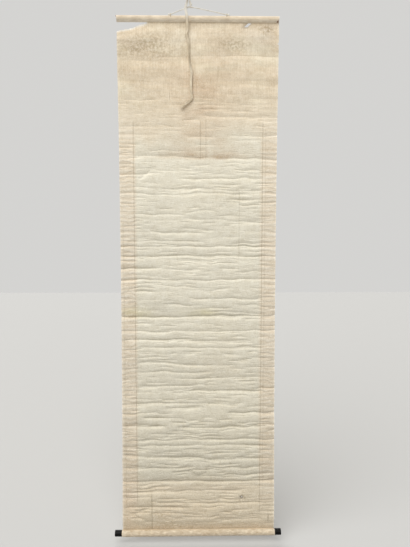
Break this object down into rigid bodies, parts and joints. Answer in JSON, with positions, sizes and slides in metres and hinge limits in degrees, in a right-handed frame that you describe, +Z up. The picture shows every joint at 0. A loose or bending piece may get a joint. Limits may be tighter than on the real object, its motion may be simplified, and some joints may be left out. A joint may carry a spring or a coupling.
{
  "type": "hanging scroll",
  "caption": "Hanging scroll seen from its creased paper back, torn at the top stave, with a black-knobbed roller, hanging cord and winding tape",
  "frame": {"origin": "the point where a hook carries the loop of the winding tape", "axes": "+Z is up along the hanging sheet, +X runs along the stave and the roller, and +Y is the way the hidden front faces; the paper back faces -Y"},
  "size_m": [0.566, 0.0231, 1.7738],
  "materials": {
    "sheet_paper": "aged cream paper, creased and stained, matte",
    "bare_wood": "bare softwood with a pinkish brown end grain",
    "black_lacquer": "black lacquer over turned wood, glossy",
    "eye_wire": "dull aged wire",
    "cord_braid": "grey-white braided cord",
    "tape_weave": "cream flat woven tape"
  },
  "bodies": {
    "root": {"scroll_sheet": "sheet_paper", "top_stave": "bare_wood", "roller": "bare_wood", "left_knob": "black_lacquer", "right_knob": "black_lacquer", "left_eye": "eye_wire", "right_eye": "eye_wire", "hanging_cord": "cord_braid", "left_cord_knot": "cord_braid", "right_cord_knot": "cord_braid", "winding_tape": "tape_weave", "tape_hitch": "tape_weave"}
  },
  "joints": []
}
